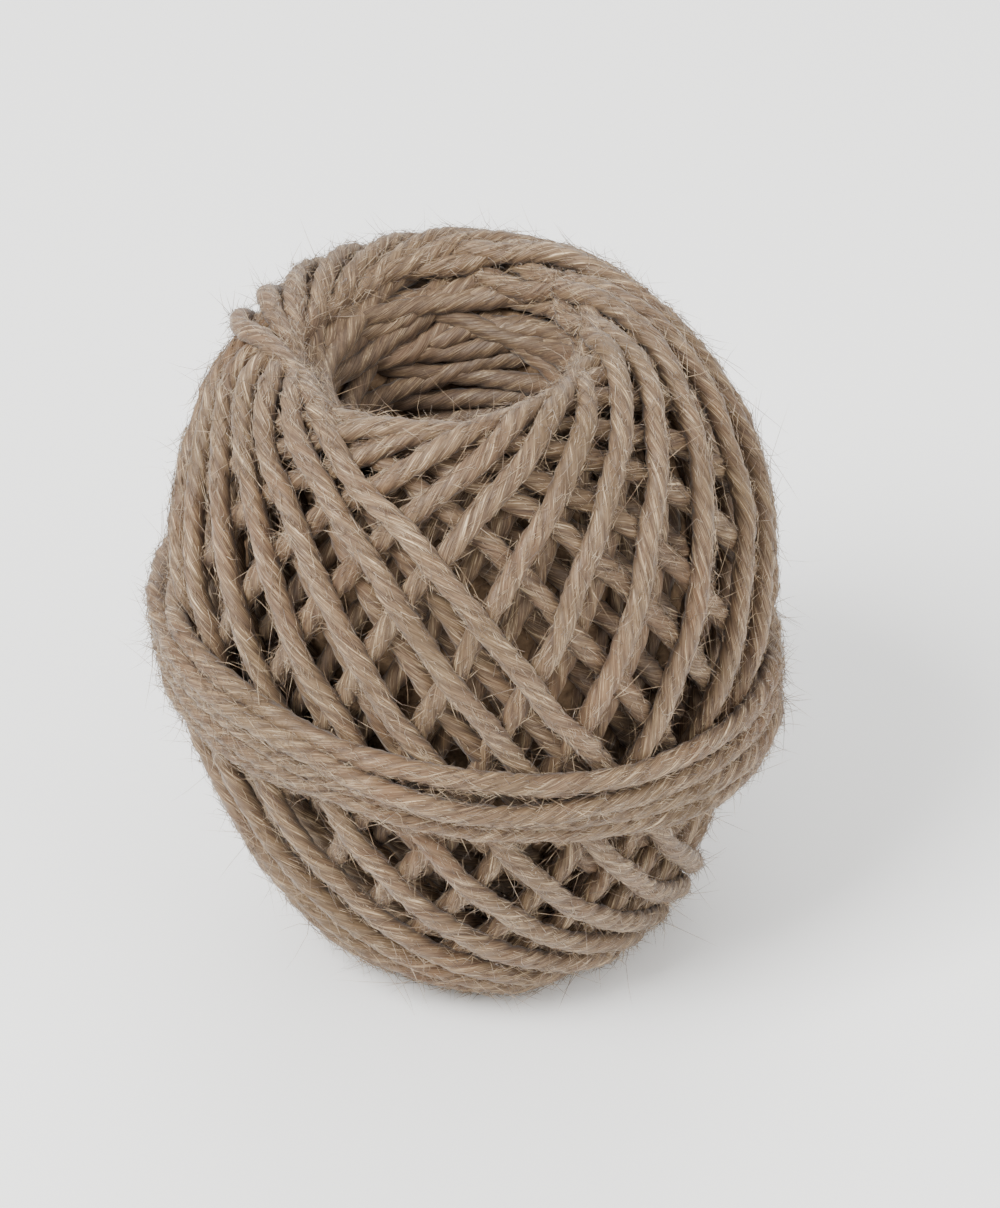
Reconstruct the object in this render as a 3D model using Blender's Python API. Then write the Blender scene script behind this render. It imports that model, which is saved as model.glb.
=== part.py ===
# A ball of three-ply jute twine, wound crosswise round a mandrel that has been drawn out.
# One length of twine makes all of it, so it is one solid: the crossed turns, the hole
# through the middle, and the band of tight turns round the belly.
# Metres, +Z up. The origin is on the surface that the ball stands on, under its middle.

from math import atan2, cos, exp, pi, sin, sqrt, tau

import bmesh
import bpy
import numpy as np

TWINE = 0.0030              # thickness of the twine
HEIGHT = 0.0790             # from the flat under the lower rim to the top of the upper rim
BODY_RADIUS = 0.0354        # to the newest crossed turn, at the widest place
WIDEST_HEIGHT = 0.0425      # the widest place lies a little above the middle
RIM_RADIUS = 0.0186         # the crest of the rim round the hole, at both ends
TURN_RADIUS = 0.0174        # circle inside the rim where every turn swings round and goes back
TURN_DROP = 0.0012          # that circle lies this far below the rim's crest
UPPER_FULLNESS = 1.88       # exponent of the outline above the widest place, 2 is an ellipse
LOWER_FULLNESS = 1.67       # the outline below it is a little leaner
FLAT_DEPTH = 0.0008         # how much the weight of the ball has pressed the lower rim flat
OUTLINE_STEPS = 1200        # points along the outline, for adding up the swing of a turn
RIM_STEPS = 40

TURNS_A_ROUND = 22          # crossed turns laid in one round of the ball
TURN_WIDTH = 0.75 * TWINE   # the rounded top of a turn that stands out
ROUND_RISE = 1.4 * TWINE    # one round of crossed turns makes the ball this much thicker
LAYER_RISE = ROUND_RISE / 2 # of its two layers, one going down and one coming up
GAP_DEPTH = 1.15 * TWINE    # from the top layer down to the bottom of the gaps
LAST_TURN = 3.65            # azimuth where the newest turn swings round at the top
CROWDING = 0.1              # the turns lie this much closer on one side, and wider on the other
WIDEST_SPACING = 0.26       # azimuth of the side where they lie widest
FIRST_ROW = 4               # lattice rows left out at each rim, where the turns lie side by side
RIM_CALM = 0.55             # relief fades to nothing over this much azimuth next to the rims

# A turn's pull is its radius times the sine of its slant. A turn on a slippery ball keeps it;
# here it grows towards the rims, because the turns below hold the twine by friction.
BELLY_PULL = 0.0174
RIM_PULL = 0.0240
BELLY_EDGE = 0.0340         # the pull starts to grow inwards of this radius
RIM_EDGE = 0.0240           # and is at its full value here
STEEPEST_SINE = 0.80        # but no turn slants more than this

# The hole is a funnel, because each round of turns swung round further out than the last.
# Its wall has a ridge where the turns of one round lie, and a groove below each ridge.
HOLE_RADIUS = 0.0082        # at its narrowest, halfway down, as wide as the mandrel was
FUNNEL_SPREAD = 0.0097      # how much wider it is at the rim
FUNNEL_DEPTH = 0.0100       # the spread falls to about a third over this depth
WALL_START = 0.0015         # the first ridge lies this far below the rim's crest
WALL_GROOVE = 0.3 * TWINE
WALL_ROUNDS = 4
WAIST_DEPTH = 0.0330        # the wall is straight between this depth from either rim

# The belly band: height of its middle at the axis, and how that leans towards +X and +Y.
BAND_HEIGHT = 0.0359
BAND_LEAN_X = -0.0072
BAND_LEAN_Y = -0.0026
BAND_RADIUS = 0.0361        # to the outside of its turns
BAND_SINK = 0.9 * TWINE     # the band's solid reaches this deep into the crossed turns
BAND_GROOVE = 0.4 * TWINE   # depth of the grooves between its turns
BAND_TURNS = 4
BAND_SEGMENTS = 60
BAND_PITCH = {"right": 0.0035, "back": 0.0031, "left": 0.0031, "front": 0.0026}

LINES_A_TURN = 3            # lattice lines for each turn: both edges of its top, and the gap
COLUMNS = TURNS_A_ROUND * LINES_A_TURN
ROWS = COLUMNS              # the lattice has as many rows from rim to rim as columns
HOLE_COLUMNS = COLUMNS // 2
RIM_AZIMUTH = FIRST_ROW * pi / ROWS
TWINE_COLOUR = (0.242, 0.171, 0.117, 1.0)


# Outline of the crossed turns from crest to crest, as two quarters of superellipses.
def body_point(share):
    angle = pi * share
    upper = angle < pi / 2
    power = 2 / (UPPER_FULLNESS if upper else LOWER_FULLNESS)
    rise = (HEIGHT - WIDEST_HEIGHT) if upper else -WIDEST_HEIGHT
    radius = RIM_RADIUS + (BODY_RADIUS - RIM_RADIUS) * abs(sin(angle)) ** power
    return radius, WIDEST_HEIGHT + rise * abs(cos(angle)) ** power


# The short stretch from the rim's crest to the turning circle: radius, and drop below the crest.
def rim_point(share):
    swing = share * pi / 2
    radius = RIM_RADIUS - (RIM_RADIUS - TURN_RADIUS) * sin(swing)
    return radius, TURN_DROP * (1 - cos(swing))


def outline_points():
    inner = [rim_point(share) for share in np.linspace(1, 0, RIM_STEPS, endpoint=False)]
    upper = [(radius, HEIGHT - drop) for radius, drop in inner]
    lower = [(radius, drop) for radius, drop in reversed(inner)]
    body = [body_point(share) for share in np.linspace(0, 1, OUTLINE_STEPS)]
    return np.array(upper + body + lower)


def slant_sine(radii):
    share = np.clip((BELLY_EDGE - radii) / (BELLY_EDGE - RIM_EDGE), 0.0, 1.0)
    eased = share * share * (3 - 2 * share)
    pull = BELLY_PULL + (RIM_PULL - BELLY_PULL) * eased
    return np.minimum(pull / radii, STEEPEST_SINE)


# The sum of a turn's sideways steps from the upper turning circle is its azimuth at each
# point, and half a round from end to end, so that the turns come out evenly.
def swing_along(points):
    steps = np.diff(points, axis=0)
    lengths = np.hypot(steps[:, 0], steps[:, 1])
    radii = (points[1:, 0] + points[:-1, 0]) / 2
    sine = slant_sine(radii)
    sideways = lengths * sine / np.sqrt(1 - sine ** 2) / radii
    azimuths = np.concatenate([[0.0], np.cumsum(sideways)])
    return azimuths * pi / azimuths[-1]


OUTLINE = outline_points()
AZIMUTHS = swing_along(OUTLINE)


# Radius and height of the outline where a turn has swung by this azimuth.
def outline_at(azimuth):
    radius = np.interp(azimuth, AZIMUTHS, OUTLINE[:, 0])
    height = np.interp(azimuth, AZIMUTHS, OUTLINE[:, 1])
    return radius, height


# The outline's outward normal there, as its parts along the radius and along Z.
def normal_at(azimuth):
    reach = pi / OUTLINE_STEPS
    radius_before, height_before = outline_at(azimuth - reach)
    radius_after, height_after = outline_at(azimuth + reach)
    run = radius_after - radius_before
    fall = height_before - height_after
    size = sqrt(run * run + fall * fall)
    return fall / size, run / size


def turn_azimuth(turn):
    even = LAST_TURN + turn * tau / TURNS_A_ROUND
    return even + CROWDING * sin(even - WIDEST_SPACING)


# Azimuths of the lattice lines: both edges of each turn's top, and the gap after it.
def line_azimuth(line):
    turn, place = divmod(line, LINES_A_TURN)
    slant_cosine = sqrt(1 - (BELLY_PULL / BODY_RADIUS) ** 2)
    half = TURN_WIDTH / 2 / (BODY_RADIUS * slant_cosine)
    if place == LINES_A_TURN - 1:
        return (turn_azimuth(turn) + turn_azimuth(turn + 1)) / 2
    return turn_azimuth(turn) + (-half, half)[place]


def is_gap(line):
    return line % LINES_A_TURN == LINES_A_TURN - 1


# How long ago a turn was laid, as a share of a round. A gap lies between two turns.
def line_age(line):
    turn = line // LINES_A_TURN
    if is_gap(line):
        turn += 0.5
    return -turn % TURNS_A_ROUND / TURNS_A_ROUND


# Depth where two lattice lines meet. The ball has grown by one layer for each turn laid
# there since, so the depth follows both ages, and the older turn lies a layer deeper.
def lattice_depth(down_line, up_line):
    down_age = line_age(down_line)
    up_age = line_age(up_line)
    top = LAYER_RISE * (down_age + up_age - 0.5)
    newer, older = (down_line, up_line) if down_age < up_age else (up_line, down_line)
    if not is_gap(newer):
        return top
    if not is_gap(older):
        return top + LAYER_RISE
    return top + GAP_DEPTH


# Turns that come down and turns that go up swing the same way round, so their lines cross.
# Where two of them meet, the swing is half their difference and the bearing is their mean.
def lattice_point(column, row):
    down = line_azimuth(column)
    up = line_azimuth(column + row)
    azimuth = (up - down) / 2
    bearing = (up + down) / 2
    from_rim = min(azimuth, pi - azimuth) - RIM_AZIMUTH
    relief = min(max(from_rim / RIM_CALM, 0.0), 1.0)
    depth = lattice_depth(column, column + row) * relief
    outward, upward = normal_at(azimuth)
    radius, height = outline_at(azimuth)
    radius -= depth * outward
    height -= depth * upward
    if height < FLAT_DEPTH:
        height = 0.0
    return radius * cos(bearing), radius * sin(bearing), height


def bearing_of(point):
    return atan2(point.co.y, point.co.x)


def hole_ring(mesh, radius, height, start):
    ring = []
    for column in range(HOLE_COLUMNS):
        bearing = start + tau * column / HOLE_COLUMNS
        ring.append(mesh.verts.new((radius * cos(bearing), radius * sin(bearing), height)))
    return ring


# Two triangles for each place, between rings with the same number of points.
def bridge(mesh, ring, next_ring):
    for here in range(len(ring)):
        there = (here + 1) % len(ring)
        mesh.faces.new((ring[here], next_ring[here], ring[there]))
        mesh.faces.new((ring[there], next_ring[here], next_ring[there]))


# Three triangles for each place, from a ring to one with half as many points.
def bridge_to_half(mesh, ring, half_ring):
    for here in range(len(half_ring)):
        there = (here + 1) % len(half_ring)
        before = ring[2 * here]
        middle = ring[2 * here + 1]
        after = ring[(2 * here + 2) % len(ring)]
        mesh.faces.new((before, half_ring[here], middle))
        mesh.faces.new((middle, half_ring[here], half_ring[there]))
        mesh.faces.new((middle, half_ring[there], after))


# Depth below the rim and radius of the crest, and of each ridge and groove of the wall.
def wall_sections():
    sections = [(0.0, RIM_RADIUS)]
    for step in range(2 * WALL_ROUNDS):
        down = step * ROUND_RISE / 2
        radius = HOLE_RADIUS + FUNNEL_SPREAD * exp(-down / FUNNEL_DEPTH)
        if step % 2 == 1:
            radius += WALL_GROOVE
        sections.append((WALL_START + down, radius))
    sections.append((WAIST_DEPTH, HOLE_RADIUS))
    return sections


# The wall of the hole from one rim to the waist. It returns its innermost ring.
def hole_wall(mesh, rim_ring, rim_height, way):
    start = bearing_of(rim_ring[0])
    ring = None
    for depth, radius in wall_sections():
        inner = hole_ring(mesh, radius, rim_height + way * depth, start)
        if ring is None:
            bridge_to_half(mesh, rim_ring, inner)
        else:
            bridge(mesh, ring, inner)
        ring = inner
    return ring


# The innermost rings from above and from below meet, each point with the nearest one.
def join_waist(mesh, upper, lower):
    gap = (bearing_of(upper[0]) - bearing_of(lower[0])) % tau
    shift = round(gap / (tau / HOLE_COLUMNS))
    bridge(mesh, upper, lower[shift:] + lower[:shift])


def crossed_turns():
    mesh = bmesh.new()
    rings = []
    for row in range(FIRST_ROW, ROWS - FIRST_ROW + 1):
        rings.append([mesh.verts.new(lattice_point(column, row)) for column in range(COLUMNS)])
    for ring, next_ring in zip(rings, rings[1:]):
        bridge(mesh, ring, next_ring)
    upper = hole_wall(mesh, rings[0], HEIGHT, -1)
    lower = hole_wall(mesh, rings[-1], 0.0, 1)
    join_waist(mesh, upper, lower)
    return new_object("ball", mesh)


# Spread of the band's turns at this bearing, eased between the four sides.
def band_pitch(bearing):
    pitch = 0.0
    for side, name in enumerate(("right", "back", "left", "front")):
        pitch += BAND_PITCH[name] * max(0.0, cos(bearing - side * pi / 2)) ** 2
    return pitch


# One section of the band: its lower edge, a ridge for each turn with grooves between, and
# its upper edge. The outer turns lie a little lower than those in the middle.
def band_section(bearing):
    middle = BAND_HEIGHT + BAND_LEAN_X * cos(bearing) + BAND_LEAN_Y * sin(bearing)
    half_pitch = band_pitch(bearing) / 2
    points = []
    for step in range(-BAND_TURNS, BAND_TURNS + 1):
        off_middle = abs(step) / BAND_TURNS
        radius = BAND_RADIUS - BAND_GROOVE * off_middle ** 2
        if (step + BAND_TURNS) % 2 == 0:
            radius -= BAND_GROOVE
        if abs(step) == BAND_TURNS:
            radius = BAND_RADIUS - BAND_SINK
        points.append((radius, middle + step * half_pitch))
    return points


# The belly band: tight turns side by side, lower and wider spread on the +X side.
def belly_band():
    mesh = bmesh.new()
    rings = []
    for segment in range(BAND_SEGMENTS):
        bearing = tau * segment / BAND_SEGMENTS
        ring = []
        for radius, height in band_section(bearing):
            ring.append(mesh.verts.new((radius * cos(bearing), radius * sin(bearing), height)))
        rings.append(ring)
    for ring, next_ring in zip(rings, rings[1:] + rings[:1]):
        bridge(mesh, ring, next_ring)
    return new_object("belly_band", mesh)


def new_object(name, mesh):
    bmesh.ops.recalc_face_normals(mesh, faces=mesh.faces)
    data = bpy.data.meshes.new(name)
    mesh.to_mesh(data)
    mesh.free()
    return bpy.data.objects.new(name, data)


def jute():
    material = bpy.data.materials.new("jute_twine")
    material.use_nodes = True
    shader = material.node_tree.nodes["Principled BSDF"]
    shader.inputs["Base Color"].default_value = TWINE_COLOUR
    shader.inputs["Roughness"].default_value = 0.85
    shader.inputs["Metallic"].default_value = 0.0
    return material


def collection(name):
    group = bpy.data.collections.new(name)
    bpy.context.scene.collection.children.link(group)
    return group


def main():
    for old in list(bpy.data.objects):
        bpy.data.objects.remove(old, do_unlink=True)

    ball = crossed_turns()
    ball.data.materials.append(jute())
    collection("ball_of_twine").objects.link(ball)

    band = belly_band()
    band.hide_render = True
    band.display_type = "WIRE"
    collection("helpers").objects.link(band)

    join = ball.modifiers.new("belly_band", "BOOLEAN")
    join.operation = "UNION"
    join.object = band
    ball.data.shade_smooth()


main()
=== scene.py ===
from math import cos, pi, radians, sin, tau

import bpy
import numpy as np
from mathutils import Matrix, Vector


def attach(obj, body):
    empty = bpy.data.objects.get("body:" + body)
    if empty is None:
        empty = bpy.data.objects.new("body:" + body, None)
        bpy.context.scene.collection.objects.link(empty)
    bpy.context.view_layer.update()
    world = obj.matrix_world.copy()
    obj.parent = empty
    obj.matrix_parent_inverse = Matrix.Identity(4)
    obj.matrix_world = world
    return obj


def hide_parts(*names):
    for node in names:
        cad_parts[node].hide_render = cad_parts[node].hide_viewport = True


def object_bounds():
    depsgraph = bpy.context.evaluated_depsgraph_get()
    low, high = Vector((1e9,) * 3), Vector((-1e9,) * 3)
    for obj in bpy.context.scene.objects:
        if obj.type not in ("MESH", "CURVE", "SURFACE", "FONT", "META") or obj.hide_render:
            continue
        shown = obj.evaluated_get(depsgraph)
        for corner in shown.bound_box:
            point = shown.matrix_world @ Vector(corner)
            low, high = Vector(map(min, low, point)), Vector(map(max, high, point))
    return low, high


# A ball of jute twine, wound crosswise on a mandrel and tied in with tight turns round
# its belly. Lengths are in mm until a mesh is made; the mesh itself is in metres.

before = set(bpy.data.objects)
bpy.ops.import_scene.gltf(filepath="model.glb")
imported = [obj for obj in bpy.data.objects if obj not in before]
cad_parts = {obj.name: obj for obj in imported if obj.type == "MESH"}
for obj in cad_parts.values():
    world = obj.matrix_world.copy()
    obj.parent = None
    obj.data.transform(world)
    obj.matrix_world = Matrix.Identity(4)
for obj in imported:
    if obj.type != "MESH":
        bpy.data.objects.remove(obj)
cadLow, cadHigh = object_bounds()
bpy.ops.object.select_all(action="DESELECT")
mm = 0.001

# the twine itself: three plies of jute, twisted like the middle stroke of an S
twine = {
    "thickness": 3.0,
    "drawn": 2.5,           # pressed tight in the ball, it looks thinner
    "flatten": 0.97,        # pressed a little flat by the winding
    "plies": 3,
    "plyLay": 8.5,          # length in which a ply goes round once
    "plyDepth": 0.13,       # groove between plies, as a share of the radius
    "fibreLay": 16.0,       # fibres slant less than the plies do
    "roughness": 0.045,     # unevenness of the surface
    "wander": 0.3,          # how far a turn strays sideways from its line
    "waves": (11.0, 17.0, 29.0),  # lengths of the waves that make it up
    "inOut": 0.6,           # it strays in and out by this share of that
    "stiffness": 4,         # rings over which a bend is eased, on each side
    "swell": 0.08,          # share by which it is thicker or thinner in places
    "swellPace": 1.7,       # its waves are shorter by this
    "plyRoundness": 0.6,    # exponent of a ply's outline, lower is flatter
    "flank": 0.6,           # cosine at which its side begins to get painted shade
}

# the wound body: its height is the CAD part's, and the rest follows the same outline
ball = {
    "height": (cadHigh.z - cadLow.z) / mm,
    "radius": 35.4,         # to the newest crossed turn
    "widest": 42.5,         # height of the widest place
    "upperFullness": 1.88,  # exponents of the outline above and below it, 2 is an ellipse
    "lowerFullness": 1.63,
    "rimRadius": 18.6,      # crest of the rim round the hole
    "holeRadius": 10.2,     # crest of the first turns, near the mandrel
    "funnelDepth": 13.0,    # the rim grew from one to the other over about this depth
    "outlinePoints": 1200,  # from rim to rim
    # a hand-held ball is a little lopsided: more or less radius at these heights
    "heights": (0, 8, 20, 30, 42, 58, 68, 79),
    "right": (0, -1.0, -2.0, -0.6, 0.5, 1.3, -0.1, -2.6),
    "left": (-2.0, -1.1, -0.4, 0.0, 0.0, -0.3, -0.4, 0.3),
}

# a turn's pull is its radius times the sine of its slant; friction lets it grow to the rims
slant = {
    "bellyPull": 17.4,
    "rimPull": 24.0,
    "bellyEdge": 34.0,      # the pull grows inwards from this radius
    "rimEdge": 24.0,
    "steepestSine": 0.80,
    "crestSine": 0.98,      # on the crest of the upper rim a turn runs almost along it
    "crestEase": 6.0,       # mm
    "topStart": -0.11,      # azimuth left over where a swing begins, and where it ends
    "lowEnd": 0.14,
}

# how the crossed turns are laid
winding = {
    "turns": 22,            # turns a round
    "newest": 3.65,         # azimuth where the newest turn swings round at the top
    "crowding": 0.1,        # turns lie closer on one side and wider on the other
    "widestSpacing": 0.26,  # azimuth of the side where they lie widest
    "roundRise": 3.3,       # one round of turns lies this much above the round before it
    "layerRise": 1.85,      # one layer of turns lies this much above the layer it crosses
    "ageRise": 1.25,        # and the newest turns this much above the oldest of their round
    "ageMiddle": 0.4,       # ages of two crossing turns that add up to no change of depth
    "rimShare": 0.25,       # share of that rise which is left at the rims
    "dive": 48,             # points of the outline over which a turn goes under another
    "ease": 0.6,            # the ball is rounder next to its rims, over this much azimuth
    "dip": (0.3, 5.0),      # how far a turn dips into the hole where it swings round
    "dipReach": 0.85,       # azimuth over which it does so, each way
    "lowerDip": 0.5,        # at the lower rim it dips by this share only
    "rimPoints": 6,         # points of the short way along a rim
    "upLag": 0.02,          # the swing up is newer than the swing down before it
    "sway": 0.014,          # unevenness of the spacing, in azimuth
    "ringStep": 0.7,
    "sides": 15,
    "pieces": 2,            # the newest round is cut into these, to keep each one light
    "seed": 4,
}


def smooth(share):
    share = np.clip(share, 0.0, 1.0)
    return share * share * (3 - 2 * share)


def lopsided(bearing, height):
    right = np.interp(height, ball["heights"], ball["right"])
    left = np.interp(height, ball["heights"], ball["left"])
    return right * np.maximum(0, np.cos(bearing)) + left * np.maximum(0, -np.cos(bearing))


def crestRadius(inset):
    below = inset - twine["thickness"] / 2
    grown = ball["rimRadius"] - ball["holeRadius"]
    return ball["holeRadius"] + grown * np.exp(-below / ball["funnelDepth"])


# outline of one round of turns at their middle, from crest to crest: radius, height,
# outward normal, and how far a turn has swung round by there
def shellAt(inset):
    crest = crestRadius(inset)
    top = ball["height"] - inset
    angles = np.linspace(0, pi, ball["outlinePoints"])
    upper = angles < pi / 2
    power = 2 / np.where(upper, ball["upperFullness"], ball["lowerFullness"])
    rise = np.where(upper, top - ball["widest"], inset - ball["widest"])
    radii = crest + (ball["radius"] - inset - crest) * np.abs(np.sin(angles)) ** power
    heights = ball["widest"] + rise * np.abs(np.cos(angles)) ** power
    lengths = np.hypot(np.diff(radii), np.diff(heights))
    middles = (radii[1:] + radii[:-1]) / 2
    outer = middles + inset
    grow = smooth((slant["bellyEdge"] - outer) / (slant["bellyEdge"] - slant["rimEdge"]))
    pull = slant["bellyPull"] + (slant["rimPull"] - slant["bellyPull"]) * grow
    sine = np.minimum(pull / outer, slant["steepestSine"])
    near = smooth((crest + slant["crestEase"] - middles) / slant["crestEase"]) ** 2
    sine = sine + (slant["crestSine"] - sine) * near * upper[1:]
    swing = np.concatenate([[0.0], np.cumsum(lengths * sine / np.sqrt(1 - sine ** 2) / middles)])
    # half a round in all
    whole = pi - slant["topStart"] - slant["lowEnd"]
    run, fall = np.gradient(radii), -np.gradient(heights)
    size = np.hypot(run, fall)
    return {
        "radius": radii,
        "height": heights,
        "swing": slant["topStart"] + swing * whole / swing[-1],
        "outward": fall / size,
        "upward": run / size,
    }


# the belly band: height of its middle, spread of its turns, and how it presses the ball in
band = {
    "height": 35.9,
    "leanX": -7.2,
    "leanY": -2.6,
    "sink": 2.2,            # its turns are pressed into the crossed turns by this much
    "tightest": 33.9,       # but no turn is drawn in further than this
    "slip": 1.3,            # for each turn downwards, on the right
    "pitch": {"right": 3.4, "back": 2.9, "left": 2.55, "front": 2.3},
    "press": 1.6,           # depth to which the crossed turns are pressed in beneath it
    "edge": 7.0,            # they come back out over this height
    # the band's own twine: turns counted from the left side onwards, the place of the twine
    # there among its neighbours, and how far it is lifted where it crosses over one of them
    "course": ((-0.02, 1.8, -3.5), (0.04, 2.0, -0.6), (0.08, 2.05, 0), (0.22, 1.5, 0),
               (0.85, 1.5, 0), (1.0, 1.05, 0.2), (1.08, 1.3, 1.0), (1.15, 1.35, 1.3),
               (1.225, 0.0, 1.2), (1.26, -0.3, 1.0), (1.34, 0.4, 0.3), (1.45, 0.5, 0),
               (1.85, 0.5, 0), (2.0, 0.0, 0), (2.12, 0.0, 0), (2.25, -0.6, 0),
               (2.85, -0.5, 0), (3.0, -1.0, 0), (3.12, -1.0, 0), (3.25, -1.5, 0),
               (3.85, -1.5, 0), (4.0, -2.0, 0), (4.12, -2.0, -0.2), (4.22, -1.6, -3.5)),
    "points": 2800,
    "easing": 25,           # points over which it changes places, on each side
    "ringStep": 0.5,
    "sides": 18,
}


def bandMiddle(bearing):
    return band["height"] + band["leanX"] * np.cos(bearing) + band["leanY"] * np.sin(bearing)


def bandPitch(bearing):
    pitch = 0.0
    for side, name in enumerate(("right", "back", "left", "front")):
        pitch = pitch + band["pitch"][name] * np.maximum(0, np.cos(bearing - side * pi / 2)) ** 2
    return pitch


# how far a turn at this depth is pressed in beneath the band
def bandPress(bearing, height, depth, layer):
    offMiddle = np.abs(height - bandMiddle(bearing)) - 2 * bandPitch(bearing)
    nearBand = smooth(1 - offMiddle / band["edge"])
    return nearBand * np.maximum(0.0, band["press"] + layer - depth)


rng = np.random.default_rng(winding["seed"])
turnStep = tau / winding["turns"]


def turnAzimuth(turn):
    even = winding["newest"] + turn * turnStep
    return even + winding["crowding"] * sin(even - winding["widestSpacing"])


# even count of turns at an azimuth, the reverse of turnAzimuth; a few rounds settle it
def evenAzimuth(azimuth):
    even = azimuth
    for _ in range(4):
        even = azimuth - winding["crowding"] * np.sin(even - winding["widestSpacing"])
    return even


def running(values, width):
    padded = np.pad(values, width, mode="edge")
    kernel = np.hanning(2 * width + 3)[1:-1]
    return np.convolve(padded, kernel / kernel.sum(), "valid")


# one swing from rim to rim: way +1 goes down, -1 comes up, and both travel the same way round
def swingPath(shell, azimuth, way, age, rounds):
    swing = shell["swing"]
    ease = smooth(np.minimum(swing, pi - swing) / winding["ease"])
    bearing = azimuth + way * swing + rng.normal(0, winding["sway"]) * ease
    # the age of the turn of the other family that crosses here
    late = 0.5 if way > 0 else 0.0
    crossing = winding["newest"] - late * turnStep - evenAzimuth(bearing + way * swing)
    otherAge = (crossing / tau) % 1
    under = np.where(otherAge < age, 1.0, 0.0)
    rise = winding["layerRise"]
    older = winding["ageRise"] * (age + otherAge - winding["ageMiddle"])
    rimShare = winding["rimShare"]
    depth = older * (rimShare + (1 - rimShare) * ease) + rise * under
    depth = running(depth, winding["dive"])
    layer = rise * running(under, winding["dive"])
    if rounds == 0:
        depth = depth + bandPress(bearing, shell["height"], depth, layer)
    radius = shell["radius"] - depth * shell["outward"]
    radius = radius + lopsided(bearing, shell["height"])
    height = shell["height"] - depth * shell["upward"]
    points = np.stack([radius * np.cos(bearing), radius * np.sin(bearing), height], 1)
    outward, upward = shell["outward"], shell["upward"]
    normals = np.stack([outward * np.cos(bearing), outward * np.sin(bearing), upward], 1)
    below = depth + winding["roundRise"] * rounds
    rows = np.concatenate([points, normals, below[:, None]], 1)
    return rows if way > 0 else rows[::-1]


# the few degrees between two swings, where a turn runs along the rim
def rimTurn(before, after):
    steps = np.linspace(0, 1, winding["rimPoints"] + 2)[1:-1]
    first, last = np.arctan2(before[1], before[0]), np.arctan2(after[1], after[0])
    bearing = first + ((last - first) % tau) * steps
    radius = np.hypot(before[0], before[1]) * (1 - steps) + np.hypot(after[0], after[1]) * steps
    rows = before[None] * (1 - steps)[:, None] + after[None] * steps[:, None]
    rows[:, 0], rows[:, 1] = radius * np.cos(bearing), radius * np.sin(bearing)
    return rows


# how a turn that slides over the rim moves, for each mm of its slide
dipping = {
    "outside": 7.0,         # mm outside the rim from which it can slide
    "fade": 4.0,            # mm over which it begins to
    "inwards": 0.6,
    "downwards": 0.8,
    "lip": 1.5,             # mm it slides before it goes down
    "tip": 2.5,             # mm of slide in which its outer side tips by a radian
    "mostTip": 1.2,
    "shade": 0.4,           # how much deeper it counts as lying, which darkens it with painted shade
}


# lets a turn dip over the rim into the hole, deepest at one azimuth
def dipped(rows, middle, dip, upper):
    bearing = np.arctan2(rows[:, 1], rows[:, 0])
    away = np.abs((bearing - middle + pi) % tau - pi)
    atRim = rows[:, 2] > ball["widest"] if upper else rows[:, 2] < ball["widest"]
    slide = dip * smooth(1 - away / winding["dipReach"]) * atRim
    fromRim = ball["rimRadius"] + dipping["outside"] - np.hypot(rows[:, 0], rows[:, 1])
    slide = slide * smooth(fromRim / dipping["fade"])
    way = 1 if upper else -1
    radius = np.hypot(rows[:, 0], rows[:, 1]) - dipping["inwards"] * slide
    rows = rows.copy()
    rows[:, 0], rows[:, 1] = radius * np.cos(bearing), radius * np.sin(bearing)
    rows[:, 2] -= way * dipping["downwards"] * slide ** 2 / (slide + dipping["lip"])
    tip = np.minimum(slide / dipping["tip"], dipping["mostTip"])
    rows[:, 3] -= np.sin(tip) * np.cos(bearing)
    rows[:, 4] -= np.sin(tip) * np.sin(bearing)
    # painted shade for the part that slides into the hole
    rows[:, 6] += dipping["shade"] * slide
    return rows


# rows of points, normals and depths, spaced evenly along the twine
def evenly(rows, step, start):
    gaps = np.linalg.norm(np.diff(rows[:, :3], axis=0), axis=1)
    along = np.concatenate([[0.0], np.cumsum(gaps)])
    marks = np.linspace(0, along[-1], max(4, int(along[-1] / step)))
    spaced = np.stack([running(np.interp(marks, along, rows[:, i]), twine["stiffness"])
                       for i in range(rows.shape[1])], 1)
    return {
        "points": spaced[:, :3],
        "normals": spaced[:, 3:6],
        "depth": spaced[:, 6],
        "along": marks + start,
    }


# slow wander of a long piece of twine, as a sum of a few waves
def wander(along):
    drift = np.zeros_like(along)
    for length in twine["waves"]:
        wave = np.sin(along * tau / length + rng.uniform(0, tau))
        drift = drift + wave / len(twine["waves"])
    return drift * twine["wander"]


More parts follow.
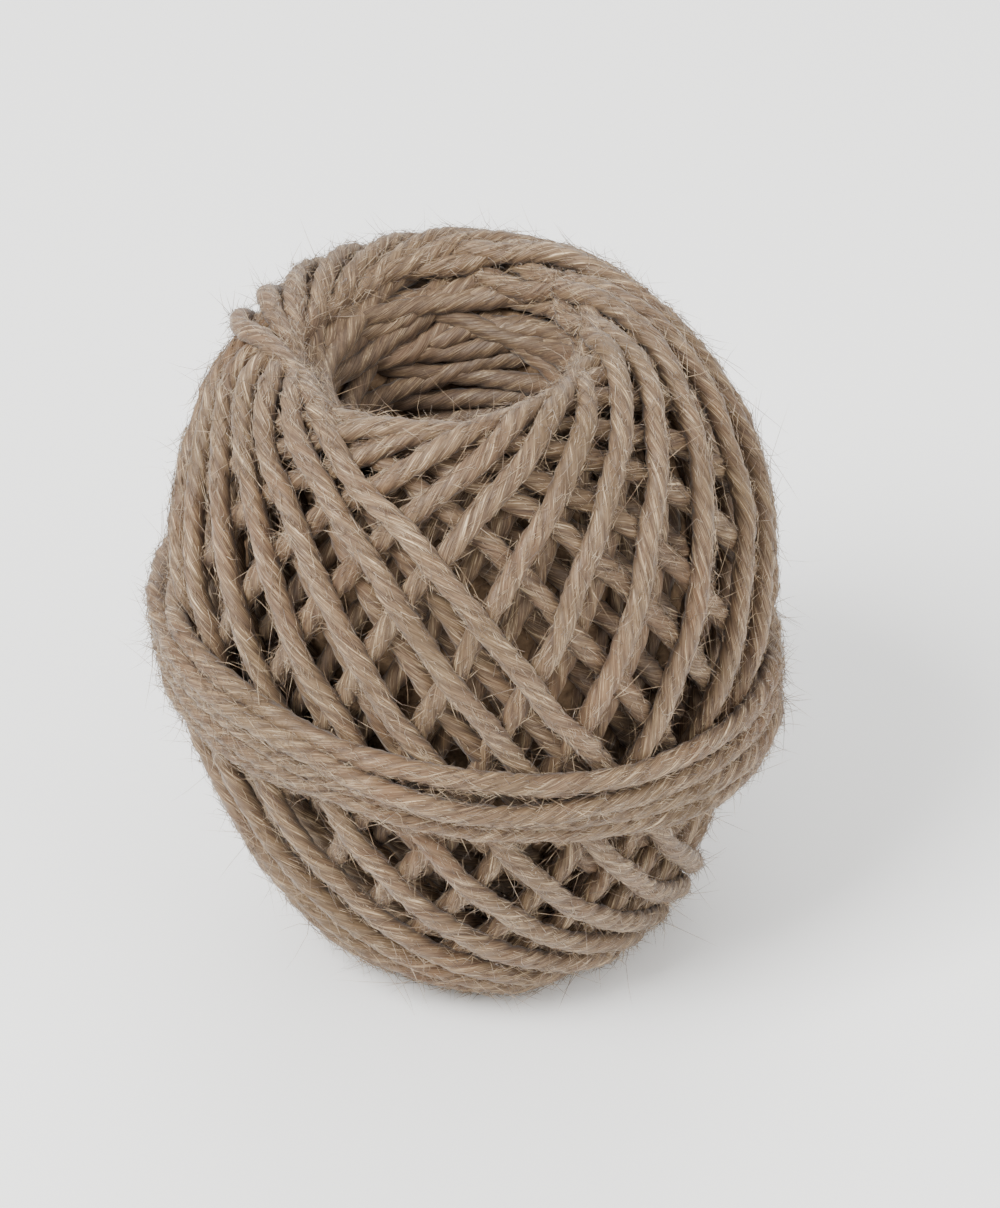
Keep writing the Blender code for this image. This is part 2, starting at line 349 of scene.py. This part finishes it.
# a tube of plied twine along a path, as arrays
def plyTube(path, sides, toneAndShade):
    points, along = path["points"], path["along"]
    tangents = np.gradient(points, axis=0)
    tangents /= np.linalg.norm(tangents, axis=1)[:, None]
    sideways = np.cross(tangents, path["normals"])
    sideways /= np.linalg.norm(sideways, axis=1)[:, None]
    normals = np.cross(sideways, tangents)
    points = points + sideways * wander(along)[:, None]
    points = points + normals * (twine["inOut"] * wander(along))[:, None]
    around = tau * np.arange(sides) / sides
    perPly = sides // twine["plies"]
    inPly = (np.arange(sides) % perPly) / perPly
    groove = 1 - np.sin(pi * inPly) ** twine["plyRoundness"]
    angle = around[None, :] - tau * along[:, None] / twine["plyLay"]
    radius = twine["drawn"] / 2 * (1 - twine["plyDepth"] * groove)
    radius = radius[None, :] + rng.normal(0, twine["roughness"], angle.shape)
    swell = 1 + twine["swell"] * wander(along * twine["swellPace"]) / twine["wander"]
    radius = radius * swell[:, None]
    offN = radius * np.cos(angle) * twine["flatten"]
    offS = radius * np.sin(angle) / twine["flatten"] ** 0.5
    ring = points[:, None, :] + offN[:, :, None] * normals[:, None, :]
    ring = ring + offS[:, :, None] * sideways[:, None, :]
    # the lowest turns lie flat on the floor
    ring[:, :, 2] = np.maximum(ring[:, :, 2], 0.0)
    flank = smooth((twine["flank"] - np.cos(angle)) / (2 * twine["flank"]))
    fibreAngle = angle + tau * along[:, None] / twine["fibreLay"]
    fibre = np.stack([
        twine["thickness"] / 2 * np.cos(fibreAngle),
        twine["thickness"] / 2 * np.sin(fibreAngle),
        np.repeat(along[:, None], sides, 1),
    ], 2)
    count = len(points)
    index = np.arange(count * sides).reshape(count, sides)
    here, there = index[:-1], index[1:]
    quads = np.stack([here, np.roll(here, -1, 1), np.roll(there, -1, 1), there], 2).reshape(-1, 4)
    return {
        "verts": ring.reshape(-1, 3),
        "quads": quads,
        "caps": [list(index[0][::-1]), list(index[-1])],
        "fibre": fibre.reshape(-1, 3),
        "groove": np.tile(groove, count),
        "flank": flank.ravel(),
        "depth": np.repeat(path["depth"], sides),
        "toneAndShade": np.full(count * sides, toneAndShade),
        "frames": (points, tangents, normals, sideways, path["depth"]),
    }


def addAttribute(mesh, name, kind, values):
    layer = mesh.attributes.new(name, kind, "POINT")
    field = "vector" if kind == "FLOAT_VECTOR" else "value"
    layer.data.foreach_set(field, np.ascontiguousarray(values, np.float32).ravel())


# joins tubes into one piece that rides on the body
def makePiece(name, tubes, material):
    verts, faces, start = [], [], 0
    for tube in tubes:
        verts.append(tube["verts"] * mm)
        faces.extend((tube["quads"] + start).tolist())
        faces.extend([[i + start for i in cap] for cap in tube["caps"]])
        start += len(tube["verts"])
    mesh = bpy.data.meshes.new(name)
    mesh.from_pydata(np.concatenate(verts).tolist(), [], faces)
    addAttribute(mesh, "fibre", "FLOAT_VECTOR", np.concatenate([t["fibre"] for t in tubes]))
    for key in ("groove", "flank", "depth", "toneAndShade"):
        addAttribute(mesh, key, "FLOAT", np.concatenate([t[key] for t in tubes]))
    mesh.shade_smooth()
    mesh.materials.append(material)
    piece = bpy.data.objects.new(name, mesh)
    bpy.context.scene.collection.objects.link(piece)
    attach(piece, "root")
    triangles = sum(len(f) - 2 for f in faces)
    print(name, "triangles", triangles)
    return piece


def linear(hexColour):
    parts = [int(hexColour[i:i + 2], 16) / 255 for i in (1, 3, 5)]
    return [p / 12.92 if p <= 0.04045 else ((p + 0.055) / 1.055) ** 2.4 for p in parts] + [1.0]


def addNode(tree, kind, settings=None, links=None):
    node = tree.nodes.new(kind)
    for key, value in (settings or {}).items():
        if isinstance(key, int) or key in node.inputs:
            node.inputs[key].default_value = value
        else:
            setattr(node, key, value)
    for key, socket in (links or {}).items():
        tree.links.new(socket, node.inputs[key])
    return node


def colourRamp(tree, factor, stops):
    ramp = addNode(tree, "ShaderNodeValToRGB", links={"Fac": factor})
    elements = ramp.color_ramp.elements
    while len(elements) < len(stops):
        elements.new(0.5)
    for element, (place, colour) in zip(elements, stops):
        element.position = place
        element.color = linear(colour)
    return ramp.outputs["Color"]


# jute: dull, dry bast fibres in bundles, brown-grey with paler glossy strands, a few of them
# greenish or orange; the fibres catch light along their length
jute = {
    "dark": "#3D2B1C",
    "middle": "#604832",
    "light": "#826A4C",
    "pale": "#E0C6A0",
    "green": "#5D492C",
    "orange": "#6B4928",
    "shadow": "#48372B",
    "fibreWidth": 0.13,     # mm, a few fibres; single ones are too fine to show
    "fibreLength": 3.2,
    "bundleWidth": 0.6,     # fibres lie in soft bundles
    "bundleLength": 9.0,
    "patch": 14.0,          # mm, length of a patch of other colour
    "streaks": 0.6,         # shares of fibres and bundles in the streaks
    "bundles": 0.4,
    "mostGreen": 0.5,
    "mostOrange": 0.45,
    # painted shade: how much the grooves, the flanks and the buried turns are darkened
    "grooveShade": 0.45,
    "flankShade": 0.5,
    "depthShade": 0.3,
    "shadeFrom": 1.5,       # mm of depth over which the shade of buried turns grows
    "shadeTo": 9.0,
    "relief": 0.12,         # mm
}


def juteMaterial(name):
    material = bpy.data.materials.new(name)
    material.use_nodes = True
    tree = material.node_tree
    shader = tree.nodes["Principled BSDF"]
    fibre = addNode(tree, "ShaderNodeAttribute", {"attribute_name": "fibre"}).outputs["Vector"]
    groove = addNode(tree, "ShaderNodeAttribute", {"attribute_name": "groove"}).outputs["Fac"]
    flank = addNode(tree, "ShaderNodeAttribute", {"attribute_name": "flank"}).outputs["Fac"]
    depth = addNode(tree, "ShaderNodeAttribute", {"attribute_name": "depth"}).outputs["Fac"]
    toneAndShade = addNode(tree, "ShaderNodeAttribute", {"attribute_name": "toneAndShade"}).outputs["Fac"]
    place = addNode(tree, "ShaderNodeTexCoord").outputs["Object"]

    def streakNoise(width, length, detail):
        stretched = addNode(tree, "ShaderNodeMapping", {"Scale": (1, 1, width / length)},
                            {"Vector": fibre}).outputs["Vector"]
        return addNode(tree, "ShaderNodeTexNoise", {
            "Scale": 1 / width, "Detail": detail, "Roughness": 0.6,
        }, {"Vector": stretched}).outputs["Fac"]

    streaks = streakNoise(jute["fibreWidth"], jute["fibreLength"], 2.0)
    bundles = streakNoise(jute["bundleWidth"], jute["bundleLength"], 2.0)
    share = addNode(tree, "ShaderNodeMath", {"operation": "MULTIPLY", 1: jute["streaks"]},
                    {0: streaks})
    mixed = addNode(tree, "ShaderNodeMath", {"operation": "MULTIPLY_ADD", 1: jute["bundles"]},
                    {0: bundles, 2: share.outputs[0]}).outputs[0]
    colour = colourRamp(tree, mixed, [(0.34, jute["dark"]), (0.46, jute["middle"]),
                                      (0.57, jute["light"]), (0.68, jute["pale"])])
    patches = addNode(tree, "ShaderNodeTexNoise", {
        "Scale": 1 / (jute["patch"] * mm), "Detail": 2.0}, {"Vector": place}).outputs["Fac"]
    patchMask = addNode(tree, "ShaderNodeMapRange", {
        "From Min": 0.52, "From Max": 0.7, "To Max": jute["mostGreen"],
    }, {"Value": patches}).outputs["Result"]
    colour = addNode(tree, "ShaderNodeMix", {"data_type": "RGBA", 7: linear(jute["green"])},
                     {0: patchMask, 6: colour}).outputs[2]
    warmMask = addNode(tree, "ShaderNodeMapRange", {
        "From Min": 0.48, "From Max": 0.3, "To Max": jute["mostOrange"],
    }, {"Value": patches}).outputs["Result"]
    colour = addNode(tree, "ShaderNodeMix", {"data_type": "RGBA", 7: linear(jute["orange"])},
                     {0: warmMask, 6: colour}).outputs[2]
    # painted shade in the grooves between plies, on the flanks and on buried turns
    grooveMask = addNode(tree, "ShaderNodeMath", {
        "operation": "MULTIPLY", 1: jute["grooveShade"]}, {0: groove}).outputs[0]
    colour = addNode(tree, "ShaderNodeMix", {"data_type": "RGBA", 7: linear(jute["dark"])},
                     {0: grooveMask, 6: colour}).outputs[2]
    flankMask = addNode(tree, "ShaderNodeMath", {
        "operation": "MULTIPLY", 1: jute["flankShade"]}, {0: flank}).outputs[0]
    colour = addNode(tree, "ShaderNodeMix", {"data_type": "RGBA", 7: linear(jute["dark"])},
                     {0: flankMask, 6: colour}).outputs[2]
    depthMask = addNode(tree, "ShaderNodeMapRange", {
        "From Min": jute["shadeFrom"], "From Max": jute["shadeTo"],
        "To Max": jute["depthShade"],
    }, {"Value": depth}).outputs["Result"]
    colour = addNode(tree, "ShaderNodeMix", {"data_type": "RGBA", 7: linear(jute["shadow"])},
                     {0: depthMask, 6: colour}).outputs[2]
    # each tube's tone darkens it; on the arcs in the hole it also carries painted shade
    toned = addNode(tree, "ShaderNodeHueSaturation", links={"Value": toneAndShade, "Color": colour})
    tree.links.new(toned.outputs["Color"], shader.inputs["Base Color"])
    # pale fibres are the glossy ones
    rough = addNode(tree, "ShaderNodeMapRange", {
        "From Min": 0.35, "From Max": 0.65, "To Min": 0.85, "To Max": 0.42,
    }, {"Value": streaks}).outputs["Result"]
    tree.links.new(rough, shader.inputs["Roughness"])
    bump = addNode(tree, "ShaderNodeBump", {"Strength": 0.9, "Distance": jute["relief"] * mm},
                   {"Height": mixed}).outputs["Normal"]
    tree.links.new(bump, shader.inputs["Normal"])
    shader.inputs["Specular IOR Level"].default_value = 0.5
    shader.inputs["Sheen Weight"].default_value = 0.12
    shader.inputs["Sheen Roughness"].default_value = 0.5
    return material


twineJute = juteMaterial("jute_twine")


# how a round's oldest turn comes up out of the hole
innerEnd = {"points": 20, "turn": 0.7, "inwards": 3.5, "down": 6.0}


# rows that lead up to a place on the rim from inside the hole, a little way back round it
def outOfHole(row):
    steps = np.linspace(1, 0, innerEnd["points"])[:-1]
    bearing = np.arctan2(row[1], row[0]) - innerEnd["turn"] * steps
    radius = np.hypot(row[0], row[1]) - innerEnd["inwards"] * steps
    rows = np.repeat(row[None], len(steps), 0)
    rows[:, 0], rows[:, 1] = radius * np.cos(bearing), radius * np.sin(bearing)
    rows[:, 2] -= innerEnd["down"] * steps ** 2
    return rows


# one round of turns, oldest turn first, as lengths of twine that follow each other
def roundOfTurns(rounds, offset):
    shell = shellAt(twine["drawn"] / 2 + winding["roundRise"] * rounds)
    swings = []
    for turn in range(-winding["turns"] + 1, 1):
        azimuth = turnAzimuth(turn + offset)
        age = -(turn + offset) / winding["turns"] % 1 if offset else -turn / winding["turns"]
        swings.append(swingPath(shell, azimuth, 1, age, rounds))
        upAge = max(age - winding["upLag"], 0.0)
        swings.append(swingPath(shell, azimuth, -1, upAge, rounds))
    pieces = [swings[0]]
    for number in range(1, len(swings)):
        upper = number % 2 == 0
        pieces += [rimTurn(swings[number - 1][-1], swings[number][0]), swings[number]]
        rimMiddle = pieces[-2][winding["rimPoints"] // 2]
        middle = np.arctan2(rimMiddle[1], rimMiddle[0])
        dip = rng.uniform(*winding["dip"]) * (1.0 if upper else winding["lowerDip"])
        pieces[-3:] = [dipped(rows, middle, dip, upper) for rows in pieces[-3:]]
    # the oldest turn comes out of the hole, and the newest ends beneath the band
    first, last = pieces[0], pieces[-1]
    pieces[0] = np.concatenate([outOfHole(first[0]), first])
    pieces[-1] = last[last[:, 2] < bandMiddle(np.arctan2(last[:, 1], last[:, 0]))]
    return pieces


def roundTubes(pieces, step, sides, groups):
    tubes, start = [], 0.0
    perGroup = -(-len(pieces) // groups)
    for first in range(0, len(pieces), perGroup):
        rows = np.concatenate(pieces[first:first + perGroup])
        path = evenly(rows, step, start)
        start = path["along"][-1]
        tubes.append(plyTube(path, sides, 1.0))
    return tubes


newestTubes = roundTubes(roundOfTurns(0, 0.0), winding["ringStep"], winding["sides"],
                         winding["pieces"])
for number, tube in enumerate(newestTubes):
    piece = makePiece("crossed_turns_%d" % (number + 1), [tube], twineJute)
    if number == 0:
        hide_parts("ball")


# two older rounds, seen through the gaps; their turns lie between those above, shifted by
# this share of a turn
earlier = {"offset": 0.5, "ringStep": 0.9, "sides": 12}
inner = {"offset": 0.25, "ringStep": 1.4, "sides": 9}

olderTubes = roundTubes(roundOfTurns(1, earlier["offset"]), earlier["ringStep"],
                        earlier["sides"], 1)
makePiece("earlier_turns", olderTubes, twineJute)
innerTubes = roundTubes(roundOfTurns(2, inner["offset"]), inner["ringStep"], inner["sides"], 1)
makePiece("inner_turns", innerTubes, twineJute)


# the hole is a funnel: the wall shows where still older turns swing round, as long flat
# arcs that overlap each other, row below row
wall = {
    "rimDepth": 7.5,        # of the topmost row below the rim
    "rowDepth": 2.5,
    "rows": 11,
    "arcs": 4,              # arcs in a row
    "span": (1.6, 2.6),     # azimuth that an arc takes
    "sag": 3.0,             # an arc's middle lies lower than its ends
    "mouth": 9.7,           # the funnel narrows by this from its mouth
    "waist": 8.4,
    "narrows": 10.0,        # over about this depth
    "bearingSpread": 0.25,  # unevenness of where an arc lies, in azimuth
    "levelSpread": 0.3,     # and in mm
    "skew": 0.6,            # one end of an arc lies higher than the other, in mm
    "bed": 0.45,            # an arc lies this far behind the wall, in thicknesses
    "plunge": 0.8,          # and its ends this much further
    "lean": 0.3,            # it faces a little out of the hole
    "points": 60,
    "tones": (0.92, 1.08),
    "shade": 0.012,         # painted shade: it gets darker with every mm of depth into the hole
    "buried": (1.5, 1 / 3),  # depth it counts as lying at, for painted shade: at the rim, and for each mm
    "ringStep": 0.9,
    "sides": 9,
}


def funnelRadius(below):
    return wall["waist"] + wall["mouth"] * np.exp(-below / wall["narrows"])


def wallTubes(upper):
    tubes = []
    way = 1 if upper else -1
    for row in range(wall["rows"]):
        for arc in range(wall["arcs"]):
            steps = np.linspace(-1, 1, wall["points"])
            span = rng.uniform(*wall["span"])
            azimuth = tau * (arc + 0.5 * row) / wall["arcs"]
            azimuth = azimuth + rng.normal(0, wall["bearingSpread"])
            bearing = azimuth + steps * span / 2
            level = wall["rimDepth"] + wall["rowDepth"] * row
            level = level + rng.normal(0, wall["levelSpread"])
            below = level - wall["sag"] * steps ** 2 + rng.normal(0, wall["skew"]) * steps
            # the ends pass outwards beneath the arcs that lie over them
            behind = twine["thickness"] * (wall["bed"] + wall["plunge"] * steps ** 4)
            radius = funnelRadius(below) + behind
            height = ball["height"] - below if upper else below
            points = np.stack([radius * np.cos(bearing), radius * np.sin(bearing), height], 1)
            lean = np.full_like(bearing, wall["lean"] * way)
            normals = np.stack([-np.cos(bearing), -np.sin(bearing), lean], 1)
            depth = np.full((wall["points"], 1), wall["buried"][0] + wall["buried"][1] * level)
            rows = np.concatenate([points, normals, depth], 1)
            # each arc is another stretch of the twine
            path = evenly(rows, wall["ringStep"], rng.uniform(0, 50))
            # painted shade that grows deeper in the hole, times a random tone of its own
            shade = 1 - wall["shade"] * level
            tubes.append(plyTube(path, wall["sides"], shade * rng.uniform(*wall["tones"])))
    return tubes


makePiece("hole_wall_upper", wallTubes(True), twineJute)
makePiece("hole_wall_lower", wallTubes(False), twineJute)


# the band: turns side by side, and a last one that crosses the one before it in front
def bandTubes():
    courseTurns, coursePlaces, courseLifts = zip(*band["course"])
    turns = np.linspace(courseTurns[0], courseTurns[-1], band["points"])
    bearing = pi + tau * turns
    place = running(np.interp(turns, courseTurns, coursePlaces), band["easing"])
    lift = running(np.interp(turns, courseTurns, courseLifts), band["easing"])
    height = bandMiddle(bearing) + place * bandPitch(bearing)
    shell = shellAt(twine["thickness"] / 2)
    surface = np.interp(-height, -shell["height"], shell["radius"]) + twine["thickness"]
    radius = surface - band["sink"] + lopsided(bearing, height)
    # on the right its lower turns slip in beneath the widest place
    slip = band["slip"] * np.maximum(0, -place - 0.5) * np.maximum(0, np.cos(bearing))
    radius = np.maximum(radius, band["tightest"] - slip) + lift
    points = np.stack([radius * np.cos(bearing), radius * np.sin(bearing), height], 1)
    normals = np.stack([np.cos(bearing), np.sin(bearing), np.zeros_like(bearing)], 1)
    rows = np.concatenate([points, normals, np.zeros((len(turns), 1))], 1)
    path = evenly(rows, band["ringStep"], 0.0)
    return [plyTube(path, band["sides"], 1.0)]


beltTubes = bandTubes()
makePiece("belly_band", beltTubes, twineJute)


# the inside of the ball, only seen as darkness in the gaps
core = {
    "inset": 8.4,
    "outlineStep": 24,      # every so many points of the outline
    "behindWall": 2.6,      # of the hole
    "wallDepths": (13, 17, 21, 26, 32),
    "segments": 96,
    "dark": "#4E3C2D",
    "light": "#846C53",
    "grain": 1.2,           # mm
    "relief": 0.6,
}


# dull jute in the shade of the turns above it
def coreMaterial():
    material = bpy.data.materials.new("jute_in_shadow")
    material.use_nodes = True
    tree = material.node_tree
    shader = tree.nodes["Principled BSDF"]
    place = addNode(tree, "ShaderNodeTexCoord").outputs["Object"]
    grain = addNode(tree, "ShaderNodeTexNoise", {
        "Scale": 1 / (core["grain"] * mm), "Detail": 5.0,
    }, {"Vector": place}).outputs["Fac"]
    colour = colourRamp(tree, grain, [(0.3, core["dark"]), (0.7, core["light"])])
    tree.links.new(colour, shader.inputs["Base Color"])
    bump = addNode(tree, "ShaderNodeBump", {"Strength": 0.8, "Distance": core["relief"] * mm},
                   {"Height": grain}).outputs["Normal"]
    tree.links.new(bump, shader.inputs["Normal"])
    shader.inputs["Roughness"].default_value = 0.95
    shader.inputs["Specular IOR Level"].default_value = 0.15
    return material


def makeCore():
    shell = shellAt(core["inset"])
    step = core["outlineStep"]
    profile = list(zip(shell["radius"][::step], shell["height"][::step]))
    lower = [(funnelRadius(drop) + core["behindWall"], drop) for drop in core["wallDepths"]]
    upper = [(radius, ball["height"] - drop) for radius, drop in reversed(lower)]
    profile = profile + lower + upper
    verts, faces = [], []
    count, segments = len(profile), core["segments"]
    for segment in range(segments):
        bearing = tau * segment / segments
        for radius, height in profile:
            verts.append((radius * cos(bearing) * mm, radius * sin(bearing) * mm, height * mm))
    for segment in range(segments):
        after = (segment + 1) % segments
        for i in range(count):
            j = (i + 1) % count
            faces.append((segment * count + i, segment * count + j,
                          after * count + j, after * count + i))
    mesh = bpy.data.meshes.new("inner_body")
    mesh.from_pydata(verts, [], faces)
    mesh.shade_smooth()
    mesh.materials.append(coreMaterial())
    piece = bpy.data.objects.new("inner_body", mesh)
    bpy.context.scene.collection.objects.link(piece)
    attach(piece, "root")
    print("inner_body triangles", 2 * len(faces))


makeCore()


# loose fibres that stand off the twine: single ones are too fine to show, so they are drawn
# about twice as thick as they are
hairs = {
    "fine": {
        "count": 43000,
        "length": (0.6, 1.9),
        "radius": 0.034,
        "stand": 0.55,      # most that it stands away, for each mm along the twine
        "bend": 0.0,
        "stations": (0.0,),  # places of its rings, as shares of its length
    },
    "short": {
        "count": 17500,
        "length": (0.8, 2.6),
        "radius": 0.04,
        "stand": 0.6,
        "bend": 0.6,
        "stations": (0.0, 0.55),
    },
    "long": {
        "count": 6500,
        "length": (1.6, 4.8),
        "radius": 0.045,
        "stand": 0.25,
        "bend": 0.6,
        "stations": (0.0, 0.4, 0.75),
    },
}

# how they all grow and look
hairGrowth = {
    "outerDepth": 3.2,      # mm of depth down to which they are most common
    "innerShare": 0.45,     # below it they are rarer by this
    "root": 0.45,           # start of one, in thicknesses from the middle of the twine
    "leastStand": 0.1,
    "scatter": 0.25,
    "cling": 0.4,           # most that one bends back to the twine
    "taper": 0.6,
    "offFloor": 0.02,       # mm
    "dark": "#5B432E",
    "middle": "#836A4E",
    "light": "#B19B7D",
    "patch": 1.3,           # mm
}


# dry single fibres, paler than the twine where they catch light
def hairMaterial():
    material = bpy.data.materials.new("jute_loose_fibre")
    material.use_nodes = True
    tree = material.node_tree
    shader = tree.nodes["Principled BSDF"]
    place = addNode(tree, "ShaderNodeTexCoord").outputs["Object"]
    tint = addNode(tree, "ShaderNodeTexNoise", {
        "Scale": 1 / (hairGrowth["patch"] * mm), "Detail": 1.0,
    }, {"Vector": place}).outputs["Fac"]
    colour = colourRamp(tree, tint, [(0.35, hairGrowth["dark"]), (0.5, hairGrowth["middle"]),
                                     (0.65, hairGrowth["light"])])
    tree.links.new(colour, shader.inputs["Base Color"])
    shader.inputs["Roughness"].default_value = 0.5
    shader.inputs["Sheen Weight"].default_value = 0.2
    return material


looseFibre = hairMaterial()


def makeHairs(name, kind, tubes):
    style, growth = hairs[kind], hairGrowth
    points, tangents, normals, sideways, depth = [
        np.concatenate([tube["frames"][i] for tube in tubes]) for i in range(5)]
    weight = np.where(depth < growth["outerDepth"], 1.0, growth["innerShare"])
    chosen = rng.choice(len(points), style["count"], p=weight / weight.sum())
    count = len(chosen)
    angle = rng.normal(0, 1.0, count)
    out = np.cos(angle)[:, None] * normals[chosen] + np.sin(angle)[:, None] * sideways[chosen]
    root = points[chosen] + out * twine["thickness"] * growth["root"]
    along = tangents[chosen] * rng.choice([-1, 1], count)[:, None]
    aim = along + out * rng.uniform(growth["leastStand"], style["stand"], count)[:, None]
    aim = aim + rng.normal(0, growth["scatter"], (count, 3))
    aim /= np.linalg.norm(aim, axis=1)[:, None]
    bend = rng.normal(0, style["bend"], (count, 3))
    bend = bend - out * rng.uniform(0.0, growth["cling"], (count, 1))
    length = rng.uniform(*style["length"], count)
    side = np.cross(aim, rng.normal(0, 1, (count, 3)))
    side /= np.linalg.norm(side, axis=1)[:, None]
    other = np.cross(aim, side)
    stations = style["stations"]
    rings = []
    for station in stations:
        middle = root + aim * (length * station)[:, None]
        middle = middle + bend * (length * station ** 2)[:, None]
        radius = style["radius"] * (1 - growth["taper"] * station)
        for corner in range(3):
            turn = tau * corner / 3
            rings.append(middle + radius * (cos(turn) * side + sin(turn) * other))
    rings.append(root + aim * length[:, None] + bend * length[:, None])
    verts = np.stack(rings, 1)
    verts[:, :, 2] = np.maximum(verts[:, :, 2], growth["offFloor"])
    faces = [(2, 1, 0)]
    for ring in range(len(stations) - 1):
        for corner in range(3):
            here, after = 3 * ring + corner, 3 * ring + (corner + 1) % 3
            faces += [(here, after, after + 3), (here, after + 3, here + 3)]
    last, tip = 3 * (len(stations) - 1), 3 * len(stations)
    faces += [(last + c, last + (c + 1) % 3, tip) for c in range(3)]
    perHair = verts.shape[1]
    allFaces = (np.array(faces)[None] + perHair * np.arange(count)[:, None, None]).reshape(-1, 3)
    mesh = bpy.data.meshes.new(name)
    mesh.from_pydata((verts.reshape(-1, 3) * mm).tolist(), [], allFaces.tolist())
    mesh.shade_smooth()
    mesh.materials.append(looseFibre)
    piece = bpy.data.objects.new(name, mesh)
    bpy.context.scene.collection.objects.link(piece)
    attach(piece, "root")
    print(name, "triangles", len(allFaces))


makeHairs("fuzz_1", "fine", newestTubes + beltTubes)
makeHairs("fuzz_2", "short", newestTubes + beltTubes + olderTubes)
makeHairs("loose_fibres", "long", newestTubes + beltTubes + olderTubes)


# floor, light and camera, in metres
table = {"side": 6.0, "colour": "#FAFAF8", "roughness": 0.7}


# matt white table top
def floorMaterial():
    material = bpy.data.materials.new("matt_white_table")
    material.use_nodes = True
    tree = material.node_tree
    shader = tree.nodes["Principled BSDF"]
    shader.inputs["Base Color"].default_value = linear(table["colour"])
    shader.inputs["Roughness"].default_value = table["roughness"]
    return material


bpy.ops.mesh.primitive_plane_add(size=table["side"], location=(0, 0, 0))
floor = bpy.context.object
floor.name = "floor"
floor.data.materials.append(floorMaterial())
print("floor", table["side"], "m wide")

studio = {
    "key": {"place": (-0.45, -0.35, 0.75), "size": 0.4, "power": 15.0},
    "fill": {"place": (0.6, -0.45, 0.4), "size": 0.6, "power": 4.0},
    "back": {"place": (0.1, 0.7, 0.6), "size": 0.6, "power": 4.0},
}
lampTarget = Vector((0, 0, 0.04))
surround = {"colour": (1, 1, 1, 1), "strength": 1.12}

for name, lamp in studio.items():
    bpy.ops.object.light_add(type="AREA", location=lamp["place"])
    light = bpy.context.object
    light.name = name + "_light"
    light.data.size = lamp["size"]
    light.data.energy = lamp["power"]
    aim = lampTarget - Vector(lamp["place"])
    light.rotation_euler = aim.to_track_quat("-Z", "Y").to_euler()

world = bpy.data.worlds.new("studio")
bpy.context.scene.world = world
world.use_nodes = True
world.node_tree.nodes["Background"].inputs["Color"].default_value = surround["colour"]
world.node_tree.nodes["Background"].inputs["Strength"].default_value = surround["strength"]
print("lights", ", ".join(studio))

# the camera looks down from the front; the point it measures from is the axis of the ball at
# its widest place, which lies left of and above the middle of a picture of 1000 by 1208
view = {
    "elevation": 35.0,
    "distance": 560.0,      # mm
    "lean": 3.6,            # degrees
    "focalPixels": 4980.0,  # focal length, in pixels of that picture
    "left": 30.7,           # pixels
    "above": 11.4,
    "longSide": 1208,
    "sensor": 36.0,
}
tilt = radians(view["elevation"])
forward = Vector((0, cos(tilt), -sin(tilt)))
right = Vector((1, 0, 0))
up = right.cross(forward)
roll = radians(view["lean"])
rolledUp = up * cos(roll) + right * sin(roll)
rolledRight = right * cos(roll) - up * sin(roll)
target = Vector((0, 0, ball["widest"]))
perPixel = view["distance"] / view["focalPixels"]
place = target - forward * view["distance"]
place = place + rolledRight * view["left"] * perPixel - rolledUp * view["above"] * perPixel
bpy.ops.object.camera_add()
camera = bpy.context.object
camera.matrix_world = Matrix((
    (rolledRight.x, rolledUp.x, -forward.x, place.x * mm),
    (rolledRight.y, rolledUp.y, -forward.y, place.y * mm),
    (rolledRight.z, rolledUp.z, -forward.z, place.z * mm),
    (0, 0, 0, 1),
))
camera.data.sensor_width = view["sensor"]
camera.data.lens = view["focalPixels"] / view["longSide"] * view["sensor"]
bpy.context.scene.camera = camera
print("camera", view["elevation"], "degrees above the floor")
